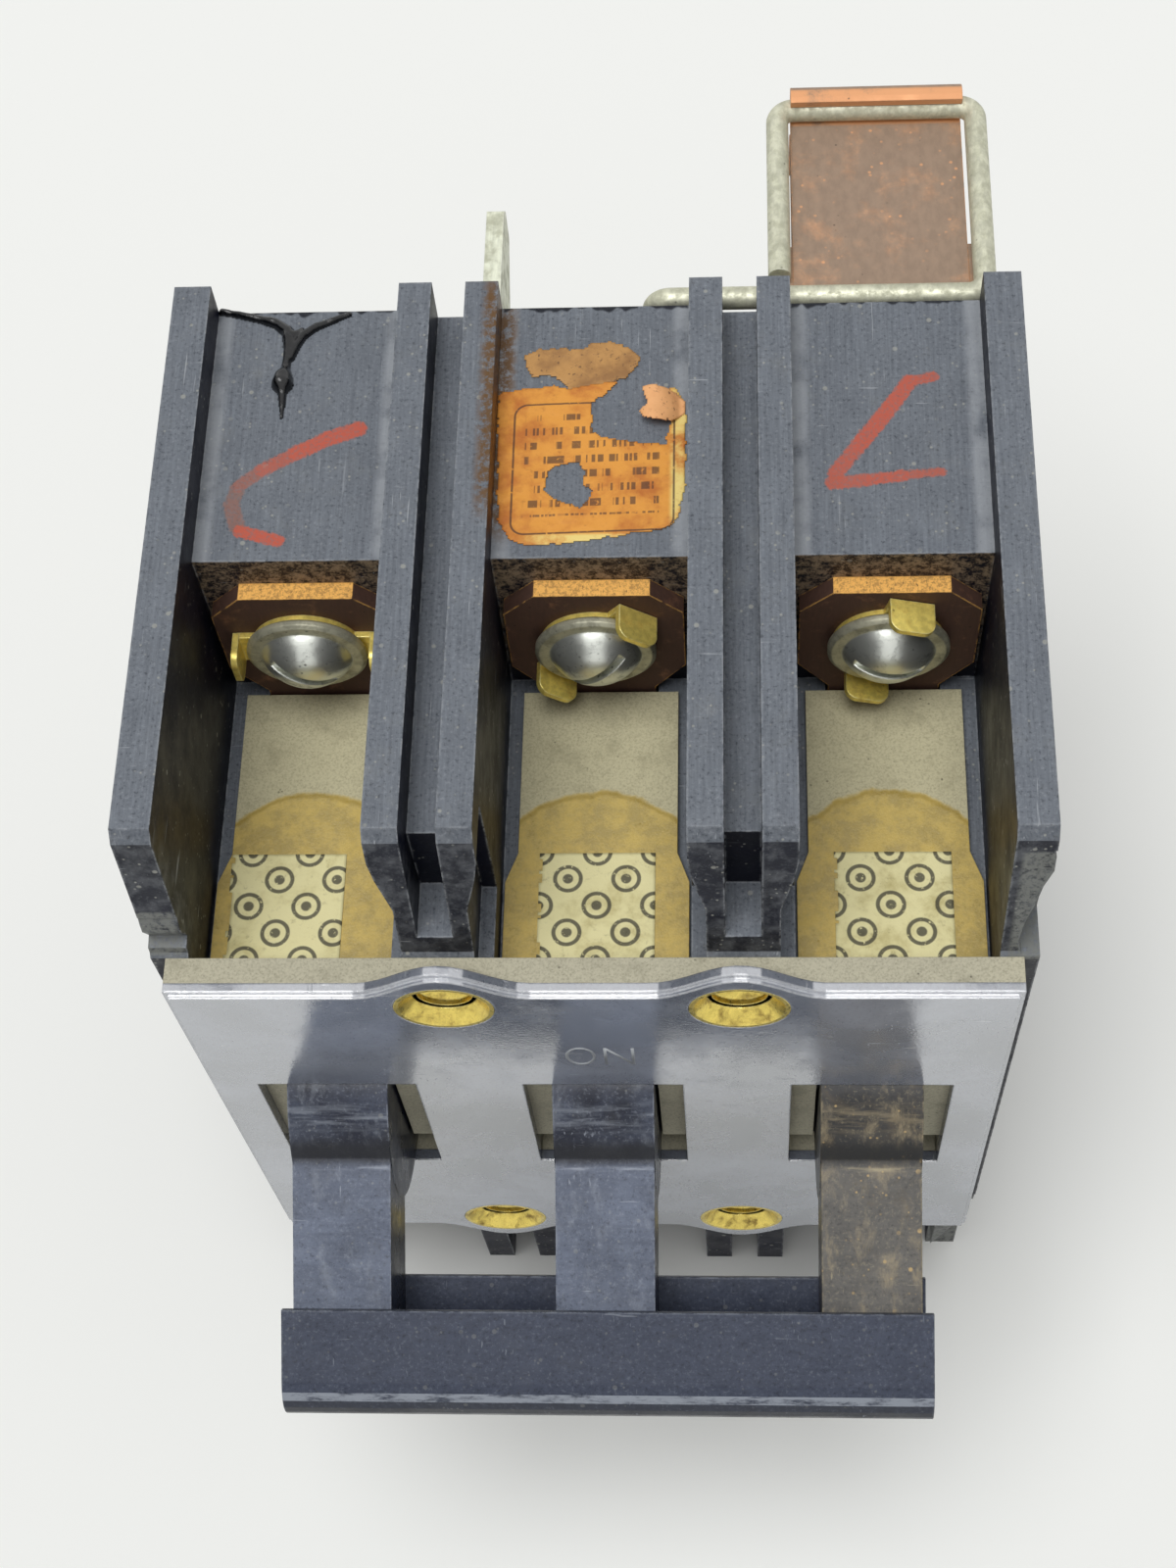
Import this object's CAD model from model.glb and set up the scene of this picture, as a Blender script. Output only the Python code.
"""Looks of the three-pole plug-on switch block, built over its fixed frame."""

import logging
import math
from dataclasses import dataclass, field
from enum import Enum
from functools import reduce
from typing import Callable, Iterable, Sequence

import bmesh
import bpy
from mathutils import Matrix, Vector, noise


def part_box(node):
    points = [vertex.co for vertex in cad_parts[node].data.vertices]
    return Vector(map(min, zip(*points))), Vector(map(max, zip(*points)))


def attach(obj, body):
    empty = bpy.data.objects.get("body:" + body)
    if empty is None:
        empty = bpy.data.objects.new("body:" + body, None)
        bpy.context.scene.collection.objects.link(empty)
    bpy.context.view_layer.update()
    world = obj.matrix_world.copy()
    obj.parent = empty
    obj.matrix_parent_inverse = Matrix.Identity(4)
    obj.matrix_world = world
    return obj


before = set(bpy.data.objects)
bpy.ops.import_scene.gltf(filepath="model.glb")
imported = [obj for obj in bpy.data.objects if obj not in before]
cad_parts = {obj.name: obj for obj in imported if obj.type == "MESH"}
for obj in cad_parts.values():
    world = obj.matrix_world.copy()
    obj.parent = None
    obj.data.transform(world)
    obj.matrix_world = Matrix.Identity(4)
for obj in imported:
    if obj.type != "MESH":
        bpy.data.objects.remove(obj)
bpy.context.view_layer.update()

log = logging.getLogger("switch_block")

MM = 0.001
Point = tuple[float, float, float]
Tint = tuple[float, float, float]
Span = tuple[float, float]
Region = tuple[Span, Span]
Outline = tuple[Span, ...]
POLES = ("left", "middle", "right")
POLE_PITCH = 36.0
POLE_X = {"left": -POLE_PITCH, "middle": 0.0, "right": POLE_PITCH}


def srgb(red: int, green: int, blue: int) -> Tint:
    """Linear colour of a display colour with channels from 0 to 255."""
    def linear(channel: int) -> float:
        """Linear value of one display channel."""
        c = channel / 255
        return c / 12.92 if c <= 0.04045 else ((c + 0.055) / 1.055) ** 2.4
    return linear(red), linear(green), linear(blue)


def shade(colour: Tint, share: float) -> Tint:
    """Colour with only that share of its light."""
    red, green, blue = colour
    return red * share, green * share, blue * share


# ---------- shader graph ----------
class Value:
    """A number in a shader graph; arithmetic on it adds Math nodes."""

    def __init__(self, graph: "Tree", socket: bpy.types.NodeSocket) -> None:
        """Keeps the tree of nodes and the socket that gives the number."""
        self.graph = graph
        self.socket = socket

    def math(self, operation: str, *others: "Value | float") -> "Value":
        """Result of a Math node on this value and the others.

        Args:
            operation: the Math node's operation.
            others: the further operands, in order.

        Returns:
            The value that the node gives.
        """
        node = self.graph.node("ShaderNodeMath", {"operation": operation},
                               dict(enumerate((self, *others))))
        return Value(self.graph, node.outputs[0])

    def __add__(self, other: "Value | float") -> "Value":
        """Sum."""
        return self.math("ADD", other)

    __radd__ = __add__

    def __sub__(self, other: "Value | float") -> "Value":
        """Difference."""
        return self.math("SUBTRACT", other)

    def __rsub__(self, other: float) -> "Value":
        """Difference with the value taken away."""
        return (self * -1.0) + other

    def __mul__(self, other: "Value | float") -> "Value":
        """Product."""
        return self.math("MULTIPLY", other)

    __rmul__ = __mul__

    def __truediv__(self, other: "Value | float") -> "Value":
        """Quotient."""
        return self.math("DIVIDE", other)

    def __pow__(self, other: float) -> "Value":
        """Power."""
        return self.math("POWER", other)

    def __abs__(self) -> "Value":
        """Size without its sign."""
        return self.math("ABSOLUTE")

    def least(self, other: "Value | float") -> "Value":
        """Smaller of two values."""
        return self.math("MINIMUM", other)

    def most(self, other: "Value | float") -> "Value":
        """Larger of two values."""
        return self.math("MAXIMUM", other)

    def rise(self, low: float, high: float) -> "Value":
        """Smooth step from 0 at low to 1 at high; low may be the larger."""
        if low > high:
            return 1.0 - self.rise(high, low)
        node = self.graph.node("ShaderNodeMapRange", {"interpolation_type": "SMOOTHSTEP"},
                               {"Value": self, "From Min": low, "From Max": high})
        return Value(self.graph, node.outputs["Result"])

    def band(self, low: float, high: float, soft: float) -> "Value":
        """1 between low and high with soft edges, and 0 outside them."""
        return self.rise(low - soft, low + soft) * self.rise(high + soft, high - soft)

    def to_grid(self, pitch: float, start: float = 0.0) -> "Value":
        """Distance to the nearest of the places that lie a pitch apart from a start."""
        return abs(((self - start) / pitch + 0.5).math("FRACT") - 0.5) * pitch


class Tree:
    """Shader nodes of a material or of the world."""

    def __init__(self, tree: bpy.types.ShaderNodeTree) -> None:
        """Keeps the tree and empties it."""
        self.tree = tree
        tree.nodes.clear()

    def node(self, kind: str, settings: dict | None = None, sockets: dict | None = None) -> bpy.types.Node:
        """Adds a node.

        Args:
            kind: the node's type.
            settings: its properties, set first.
            sockets: its inputs by name or number, each a number, a colour, a Value or a socket.

        Returns:
            The new node.
        """
        made = self.tree.nodes.new(kind)
        for name, setting in (settings or {}).items():
            setattr(made, name, setting)
        for key, value in (sockets or {}).items():
            self.plug(made.inputs[key], value)
        return made

    def plug(self, socket: bpy.types.NodeSocket, value: object) -> None:
        """Links a Value or a socket to an input, or sets it to a constant."""
        if isinstance(value, Value):
            self.tree.links.new(value.socket, socket)
        elif isinstance(value, bpy.types.NodeSocket):
            self.tree.links.new(value, socket)
        elif isinstance(value, tuple) and socket.type == "RGBA":
            socket.default_value = (*value, 1.0)
        else:
            socket.default_value = value


class Graph(Tree):
    """Shader nodes of one material, which ends in a Principled BSDF."""

    def __init__(self, name: str) -> None:
        """Starts an empty material of that name."""
        self.material = bpy.data.materials.new(name)
        self.material.use_nodes = True
        super().__init__(self.material.node_tree)
        self.shader = self.node("ShaderNodeBsdfPrincipled")
        self.node("ShaderNodeOutputMaterial", None, {0: self.shader.outputs[0]})
        self._place: bpy.types.NodeSocket | None = None
        self._axes: tuple[Value, Value, Value] | None = None
        self._facing: tuple[Value, Value, Value] | None = None

    def set(self, **inputs: object) -> None:
        """Sets sockets of the shader, with underscores for the spaces of their names."""
        for name, value in inputs.items():
            self.plug(self.shader.inputs[name.replace("_", " ")], value)

    def place(self) -> bpy.types.NodeSocket:
        """Position in the piece's own frame, in millimetres."""
        if self._place is None:
            where = self.node("ShaderNodeTexCoord").outputs["Object"]
            scaled = self.node("ShaderNodeVectorMath", {"operation": "SCALE"}, {0: where, "Scale": 1 / MM})
            self._place = scaled.outputs[0]
        return self._place

    def stretched(self, x: float, y: float, z: float) -> bpy.types.NodeSocket:
        """Position with each axis scaled, which draws a texture out along the small ones."""
        node = self.node("ShaderNodeVectorMath", {"operation": "MULTIPLY"}, {0: self.place(), 1: (x, y, z)})
        return node.outputs[0]

    def split(self, vector: bpy.types.NodeSocket) -> tuple[Value, Value, Value]:
        """X, Y and Z of a vector."""
        node = self.node("ShaderNodeSeparateXYZ", None, {0: vector})
        return tuple(Value(self, output) for output in node.outputs)

    def axes(self) -> tuple[Value, Value, Value]:
        """X, Y and Z of the position, in millimetres."""
        if self._axes is None:
            self._axes = self.split(self.place())
        return self._axes

    def facing(self) -> tuple[Value, Value, Value]:
        """X, Y and Z of the surface's normal in the piece's own frame."""
        if self._facing is None:
            self._facing = self.split(self.node("ShaderNodeTexCoord").outputs["Normal"])
        return self._facing

    def noise(self, size: float, detail: float = 3.0, rough: float = 0.55, bend: float = 0.0,
              where: bpy.types.NodeSocket | None = None) -> Value:
        """Cloudy texture from 0 to 1.

        Args:
            size: the size of its blotches, in millimetres.
            detail: how many finer layers it has.
            rough: how strong the finer layers are.
            bend: how far it is distorted.
            where: the position to read it at; the plain position when left out.

        Returns:
            Its value.
        """
        node = self.node("ShaderNodeTexNoise", None, {
            "Vector": where or self.place(), "Scale": 1 / size, "Detail": detail,
            "Roughness": rough, "Distortion": bend})
        return Value(self, node.outputs[0])

    def specks(self, size: float, where: bpy.types.NodeSocket | None = None) -> Value:
        """Distance to scattered points, 0 on each point, in units of their spacing."""
        node = self.node("ShaderNodeTexVoronoi", None, {"Vector": where or self.place(), "Scale": 1 / size})
        return Value(self, node.outputs["Distance"])

    def edges(self, radius: float) -> Value:
        """1 on sharp outer or inner edges and 0 on flat stretches, about radius millimetres wide."""
        rounded = self.node("ShaderNodeBevel", {"samples": 4}, {"Radius": radius * MM}).outputs[0]
        flat = self.node("ShaderNodeNewGeometry").outputs["Normal"]
        match = self.node("ShaderNodeVectorMath", {"operation": "DOT_PRODUCT"}, {0: rounded, 1: flat})
        return (1.0 - Value(self, match.outputs["Value"])).rise(0.02, 0.25)

    def mix(self, share: Value | float, first: object, second: object) -> bpy.types.NodeSocket:
        """Colour between two colours.

        Args:
            share: 0 for the first colour, 1 for the second.
            first: a colour or the socket that gives one.
            second: a colour or the socket that gives one.

        Returns:
            The socket of the mixed colour.
        """
        node = self.node("ShaderNodeMix", {"data_type": "RGBA", "clamp_factor": True},
                         {0: share, 6: first, 7: second})
        return node.outputs[2]

    def relief(self, height: Value, depth: float, round_edge: float = 0.0) -> None:
        """Feeds a height to the shader's Normal.

        Args:
            height: the height, from 0 to 1.
            depth: what a height of 1 is worth, in millimetres.
            round_edge: radius that softens the piece's edges, in millimetres.
        """
        sockets = {"Height": height, "Distance": depth * MM, "Strength": 1.0}
        if round_edge:
            bevel = self.node("ShaderNodeBevel", {"samples": 4}, {"Radius": round_edge * MM})
            sockets["Normal"] = bevel.outputs[0]
        self.set(Normal=self.node("ShaderNodeBump", None, sockets).outputs[0])

    def to_stroke(self, start: Span, end: Span) -> Value:
        """Distance in millimetres to a straight stroke on a level surface.

        Args:
            start: its first end, X and Y in millimetres.
            end: its other end.

        Returns:
            The distance, measured level.
        """
        x, y, _ = self.axes()
        run = (end[0] - start[0], end[1] - start[1])
        length = math.hypot(*run)
        unit = (run[0] / length, run[1] / length)
        along = (x - start[0]) * unit[0] + (y - start[1]) * unit[1]
        across = (x - start[0]) * -unit[1] + (y - start[1]) * unit[0]
        beyond = along - along.most(0.0).least(length)
        return (beyond * beyond + across * across) ** 0.5

    def from_pole(self) -> Value:
        """Distance in millimetres to the middle plane of the nearest pole."""
        x, _, _ = self.axes()
        return x.to_grid(POLE_PITCH)


# ---------- finishes ----------
@dataclass(frozen=True)
class Moulding:
    """Moulded phenolic: dark where it stands upright, hazed over where it looks up.

    Attributes:
        name: the material's name.
        colour: the moulding's own colour.
        haze: colour of the grey haze on what looks up.
        hazed: how much of that haze there is, from 0 to 1.
        worn: colour of its rubbed edges.
        dust: colour of the dust that lies on it.
        dusty: how much dust lies on it, from 0 to 1.
        gloss: its roughness where it is clean.
        ior: its index of refraction.
        sheen: its specular level.
        flow: size of the cloudy flow marks in millimetres.
        draw: scale of its fine streaks along X, Y and Z.
        edge: width of its rubbed edges in millimetres.
        scratch_along: scale along X, Y and Z of the scratches that run front to back.
        scratch_across: scale of those that run from side to side.
    """

    name: str
    colour: Tint
    haze: Tint
    worn: Tint
    hazed: float = 0.8
    dust: Tint = srgb(166, 166, 158)
    dusty: float = 0.35
    gloss: float = 0.3
    ior: float = 1.5
    sheen: float = 0.5
    flow: float = 9.0
    draw: Point = (2.6, 0.1, 2.0)
    edge: float = 0.5
    scratch_along: Point = (2.4, 0.1, 1.1)
    scratch_across: Point = (0.16, 2.1, 1.4)

    def paint(self, graph: Graph) -> bpy.types.NodeSocket:
        """Base colour of the plain moulding, before any marks on it."""
        clouds = graph.noise(self.flow, 5, 0.6, 0.4)
        base = graph.mix(clouds.rise(0.3, 0.7), shade(self.colour, 0.6), self.colour)
        base = graph.mix(self.film(graph) * self.hazed, base, self.haze)
        grain = graph.noise(0.5, 3, 0.7)
        _, _, up = graph.facing()
        base = graph.mix(grain.rise(0.54, 0.7) * 0.5, base, shade(self.colour, 0.5))
        base = graph.mix(grain.rise(0.46, 0.3) * (up.rise(-0.1, 0.7) * 0.18 + 0.04), base, self.worn)
        base = graph.mix(self.scratches(graph) * 0.5, base, self.worn)
        rubbed = graph.edges(self.edge) * graph.noise(1.4, 4, 0.7).rise(0.4, 0.58)
        base = graph.mix(rubbed * 0.9, base, self.worn)
        return graph.mix(self.dust_cover(graph), base, self.dust)

    def film(self, graph: Graph) -> Value:
        """Haze on what looks up, cloudy and finely streaked."""
        _, _, up = graph.facing()
        streaks = graph.noise(1.0, 3, 0.6, 0.0, graph.stretched(*self.draw))
        clouds = graph.noise(self.flow * 0.6, 4, 0.6)
        return up.rise(0.05, 0.85) * (0.66 + clouds * 0.34 + (streaks - 0.5) * 0.7)

    def scratches(self, graph: Graph) -> Value:
        """Fine scratches that run along and across the moulding."""
        along = graph.noise(1.0, 2, 0.5, 0.0, graph.stretched(*self.scratch_along)).rise(0.69, 0.74)
        across = graph.noise(1.0, 2, 0.5, 0.0, graph.stretched(*self.scratch_across)).rise(0.71, 0.76)
        return along.most(across) * graph.noise(12, 2).rise(0.46, 0.6)

    def dust_cover(self, graph: Graph) -> Value:
        """How much dust hides the moulding: a thin film and many crumbs."""
        _, _, up = graph.facing()
        film = graph.noise(4.0, 6, 0.7).rise(0.5, 0.82) * up.rise(-0.2, 0.9) * (0.3 * self.dusty)
        small = graph.specks(1.1).rise(0.2, 0.1) * graph.noise(4.0, 3).rise(0.48, 0.6)
        large = graph.specks(3.0).rise(0.13, 0.08) * graph.noise(7.0, 2).rise(0.46, 0.56)
        return film.most(small.most(large) * (1.2 * self.dusty))

    def build(self) -> bpy.types.Material:
        """Material of this finish."""
        graph = Graph(self.name)
        cloudy = graph.noise(6.0, 6, 0.65)
        graph.set(Base_Color=self.paint(graph), IOR=self.ior, Specular_IOR_Level=self.sheen,
                  Roughness=(cloudy.rise(0.3, 0.8) * 0.2 + self.gloss).least(0.9))
        grain = graph.noise(0.5, 4, 0.6) * 0.4 + graph.noise(3.5, 3) * 0.4 - self.scratches(graph) * 0.5
        graph.relief(grain, 0.045, 0.4)
        return graph.material


@dataclass(frozen=True)
class ToggleMoulding(Moulding):
    """Toggle moulding: dark drum, black crease, and a paddle rubbed in patches.

    Attributes:
        crease_y: Y of the crease between the drum and the paddle, in millimetres.
        crease_z: Z over which the crease fades in.
        rubbed: colour of what hands have rubbed.
        patchy: how strongly the paddle is rubbed, from 0 to 1.
    """

    crease_y: float = -74.6
    crease_z: Span = (90.0, 93.0)
    rubbed: Tint = srgb(150, 156, 166)
    patchy: float = 0.5

    def film(self, graph: Graph) -> Value:
        """Haze in patches, thin on the drum and fuller on the paddle."""
        _, y, _ = graph.axes()
        patches = graph.noise(7.0, 5, 0.6, 0.3).rise(0.34, 0.66)
        on_paddle = y.rise(self.crease_y + 0.6, self.crease_y - 1.2)
        return super().film(graph) * (on_paddle * 0.7 + patches * 0.32)

    def paint(self, graph: Graph) -> bpy.types.NodeSocket:
        """Toggle moulding with its crease and its rubbed patches."""
        base = super().paint(graph)
        _, y, z = graph.axes()
        _, _, up = graph.facing()
        on_crest = z.rise(*self.crease_z)
        sweep = graph.noise(1.0, 5, 0.7, 0.3, graph.stretched(0.3, 0.12, 0.2)).rise(0.5, 0.72)
        across = graph.noise(1.0, 4, 0.65, 0.0, graph.stretched(0.14, 1.2, 1.2)).rise(0.42, 0.66)
        drum_glow = y.band(self.crease_y + 3.2, self.crease_y + 5.2, 1.4) * across
        base = graph.mix((sweep * self.patchy).most(drum_glow * 0.5) * up.rise(0.1, 0.6), base, self.rubbed)
        crease = y.band(self.crease_y - 0.2, self.crease_y + 1.7, 0.7) * on_crest
        base = graph.mix(crease * 0.9, base, shade(self.colour, 0.25))
        brow = y.band(self.crease_y - 1.1, self.crease_y - 0.7, 0.2) * on_crest * across
        return graph.mix(brow * 0.7, base, self.worn)


@dataclass(frozen=True)
class TieEnamel(Moulding):
    """Enamel of the tie bar, worn to a pale band along its nose.

    Attributes:
        nose: colour of the worn band.
        nose_up: how far the surface looks up at the band's two edges, from 0 to 1.
    """

    nose: Tint = srgb(150, 156, 166)
    nose_up: Span = (0.55, 0.75)

    def paint(self, graph: Graph) -> bpy.types.NodeSocket:
        """Enamel with its worn nose."""
        base = super().paint(graph)
        _, _, up = graph.facing()
        broken = graph.noise(1.0, 5, 0.7, 0.0, graph.stretched(0.3, 1.0, 1.0)).rise(0.3, 0.55)
        return graph.mix(up.band(*self.nose_up, 0.03) * broken * 0.8, base, self.nose)


@dataclass(frozen=True)
class Mark:
    """Grease-pencil line over a level face.

    Attributes:
        bends: X, Y and width in millimetres, and strength from 0 to 1, at each bend.
    """

    bends: tuple[tuple[float, float, float, float], ...]

    def over(self, graph: Graph) -> tuple[Value, Value]:
        """Mask of the whole line, and of the line where it is fresh."""
        fray = (graph.noise(0.5, 4, 0.7) - 0.5) * 1.1
        wax = graph.noise(0.4, 3, 0.65).rise(0.34, 0.56) * 0.45 + 0.55
        whole: list[Value] = []
        fresh: list[Value] = []
        for (*start, first_w, first_s), (*end, last_w, last_s) in zip(self.bends, self.bends[1:]):
            half = (first_w + last_w) / 4
            stroke = (graph.to_stroke(start, end) + fray).rise(half + 0.2, half - 0.15)
            whole.append(stroke)
            fresh.append(stroke * ((first_s + last_s) / 2))
        return reduce(Value.most, whole) * wax, reduce(Value.most, fresh) * wax


@dataclass(frozen=True)
class Break:
    """Broken corner of the case.

    Attributes:
        x: X in millimetres where the break starts and where it is full.
        y: Y where it starts and where it is full.
        z: its lowest and highest Z.
        soft: how softly it ends along Z.
    """

    x: Span
    y: Span
    z: Span
    soft: float = 0.3

    def over(self, graph: Graph) -> Value:
        """Mask of the break."""
        x, y, z = graph.axes()
        return x.rise(*self.x) * y.rise(*self.y) * z.band(*self.z, self.soft)


@dataclass(frozen=True)
class CaseMoulding(Moulding):
    """Case moulding with its grease-pencil marks, rust and broken corners.

    Attributes:
        pencil: colour of the grease pencil.
        faded: its colour where it has faded.
        rust: colour of the stain beside the steel blade.
        soot: colour of the dirt over the terminals.
        fracture: colour of the broken corners.
        marks: the lines drawn on the block tops.
        breaks: the broken corners.
        block_top_z: Z of the block tops, in millimetres.
        block_half: half the width of a block.
        back_y: Y of the back edge of the blocks.
        rust_x: X between which the rust stain lies.
        rust_y: Y between which it lies.
        rust_z: Z over which it fades in.
        soot_y: Y of the front of the blocks, where the soot is.
        soot_z: Z over which it fades in.
        scuff_y: Y over which the scuffed rib ends fade in.
        scuff_z: Z over which they fade in.
    """

    pencil: Tint = srgb(198, 92, 72)
    faded: Tint = srgb(128, 106, 90)
    rust: Tint = srgb(104, 74, 38)
    soot: Tint = srgb(158, 138, 114)
    fracture: Tint = srgb(122, 124, 120)
    marks: tuple[Mark, ...] = (
        Mark(((-28.9, 0.5, 2.1, 1.0), (-32.8, -1.0, 2.2, 1.0), (-36.4, -3.0, 1.9, 0.95),
              (-40.4, -5.4, 1.7, 0.5), (-43.1, -7.8, 1.7, 0.2), (-43.7, -10.4, 1.9, 0.1),
              (-42.8, -13.4, 2.0, 0.3))),
        Mark(((-42.4, -14.2, 1.5, 1.0), (-37.6, -15.6, 1.7, 1.0))),
        Mark(((41.6, 7.0, 0.9, 0.8), (38.7, 6.3, 1.8, 0.9), (35.5, 1.5, 2.1, 1.0),
              (32.4, -2.8, 2.0, 0.9), (29.4, -7.0, 1.8, 0.8))),
        Mark(((29.0, -8.4, 1.9, 0.7), (33.2, -8.0, 1.6, 0.9), (37.7, -7.4, 1.4, 0.9),
              (42.0, -7.0, 0.9, 0.6))))
    breaks: tuple[Break, ...] = (
        Break((48.4, 49.2), (-54.6, -55.6), (132.0, 153.2)),
        Break((-47.6, -48.6), (-58.6, -59.4), (133.0, 141.8)),
        Break((46.6, 47.4), (-56.4, -57.0), (-10.0, 39.2), 1.2))
    block_top_z: float = 151.5
    block_half: float = 11.6
    back_y: float = 18.5
    rust_x: Span = (-13.4, -9.9)
    rust_y: Span = (-15.0, 19.0)
    rust_z: Span = (145.0, 150.0)
    soot_y: Span = (-18.7, -18.3)
    soot_z: Span = (122.0, 140.0)
    scuff_y: Span = (-54.0, -57.5)
    scuff_z: Span = (124.0, 134.0)

    def paint(self, graph: Graph) -> bpy.types.NodeSocket:
        """Moulding with its marks."""
        base = super().paint(graph)
        x, y, z = graph.axes()
        _, forward, up = graph.facing()
        on_top = z.band(self.block_top_z - 0.25, self.block_top_z + 0.25, 0.15) * up.rise(0.6, 0.9)
        beside = graph.from_pole().rise(self.block_half - 2.4, self.block_half - 1.2)
        sheen = beside * on_top * graph.noise(5.0, 3).rise(0.25, 0.6)
        base = graph.mix(sheen * 0.5, base, self.worn)
        for mark in self.marks:
            whole, fresh = mark.over(graph)
            base = graph.mix(whole * on_top * 0.62, base, self.faded)
            base = graph.mix(fresh * on_top * 0.86, base, self.pencil)
        stain = x.band(*self.rust_x, 0.7) * y.band(*self.rust_y, 3.0) * z.rise(*self.rust_z)
        base = graph.mix(stain * graph.noise(1.1, 5, 0.75).rise(0.36, 0.56) * 0.9, base, self.rust)
        over_plate = y.band(*self.soot_y, 0.15) * forward.rise(-0.4, -0.8) * z.rise(*self.soot_z)
        base = graph.mix(over_plate * graph.noise(0.9, 5, 0.8).rise(0.4, 0.62) * 0.85, base, self.soot)
        scuffed = y.rise(*self.scuff_y) * z.rise(*self.scuff_z) * graph.noise(2.4, 6, 0.62).rise(0.4, 0.7)
        base = graph.mix(scuffed * 0.16, base, self.worn)
        base = graph.mix(self.chips(graph) * 0.9, base, shade(self.colour, 0.5))
        broken = reduce(Value.most, [corner.over(graph) for corner in self.breaks])
        ragged = graph.noise(0.9, 5, 0.75).rise(0.32, 0.56)
        return graph.mix(broken * ragged * 0.85, base, self.fracture)

    def chips(self, graph: Graph) -> Value:
        """Mask of the dark chips along the back edge of the blocks."""
        _, y, z = graph.axes()
        ragged = y + (graph.noise(1.0, 1, 0.5, 0.0, graph.stretched(0.5, 0.1, 0.1)) - 0.5) * 3.2
        on_block = graph.from_pole().rise(self.block_half + 0.2, self.block_half - 0.2)
        at_edge = ragged.rise(self.back_y - 0.4, self.back_y)
        return at_edge * z.band(self.block_top_z - 1.1, self.block_top_z + 0.5, 0.3) * on_block


@dataclass(frozen=True)
class Fibre:
    """Pressed fibre or paper board, finely mottled and matt.

    Attributes:
        name: the material's name.
        colour: its own colour.
        dark: colour of its darker strands.
        glue: colour of the varnish stain, or None without one.
        stain_edge: Y of the stain's crest in millimetres.
        stain_drop: how far the stain's edge falls back 10 mm beside the crest.
        stain_frayed: how far its edge strays.
    """

    name: str
    colour: Tint
    dark: Tint
    glue: Tint | None = None
    stain_edge: float = -35.4
    stain_drop: float = 4.2
    stain_frayed: float = 2.2

    def build(self) -> bpy.types.Material:
        """Material of this finish."""
        graph = Graph(self.name)
        strands = graph.noise(0.3, 4, 0.75)
        base = graph.mix(strands.rise(0.25, 0.6) * 0.7 + 0.3, self.dark, self.colour)
        base = graph.mix(graph.noise(4.0, 5, 0.65).rise(0.5, 0.75) * 0.5, base, self.dark)
        pores = graph.specks(1.3).rise(0.16, 0.06) * graph.noise(3.0, 2).rise(0.52, 0.64)
        base = graph.mix(pores * 0.7, base, shade(self.dark, 0.25))
        rough: Value | float = 0.8
        if self.glue is not None:
            _, y, _ = graph.axes()
            aside = graph.from_pole() / 10.0
            stray = (graph.noise(4.0, 4, 0.6) - 0.5) * self.stain_frayed
            crest = y + aside * aside * self.stain_drop + stray
            inside = crest.rise(self.stain_edge + 0.4, self.stain_edge - 0.3)
            rim = crest.band(self.stain_edge - 0.75, self.stain_edge - 0.1, 0.3)
            pooled = graph.noise(2.6, 4, 0.65).rise(0.34, 0.66)
            tone = graph.mix(pooled, self.glue, shade(self.glue, 0.66))
            base = graph.mix(inside * 0.72, base, tone)
            base = graph.mix(rim * 0.6, base, shade(self.glue, 0.5))
            rough = 0.82 - inside * (0.36 + pooled * 0.26)
        graph.set(Base_Color=base, Roughness=rough)
        graph.relief(strands * 0.5 + graph.noise(0.3, 3) * 0.5, 0.05, 0.15)
        return graph.material


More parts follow.
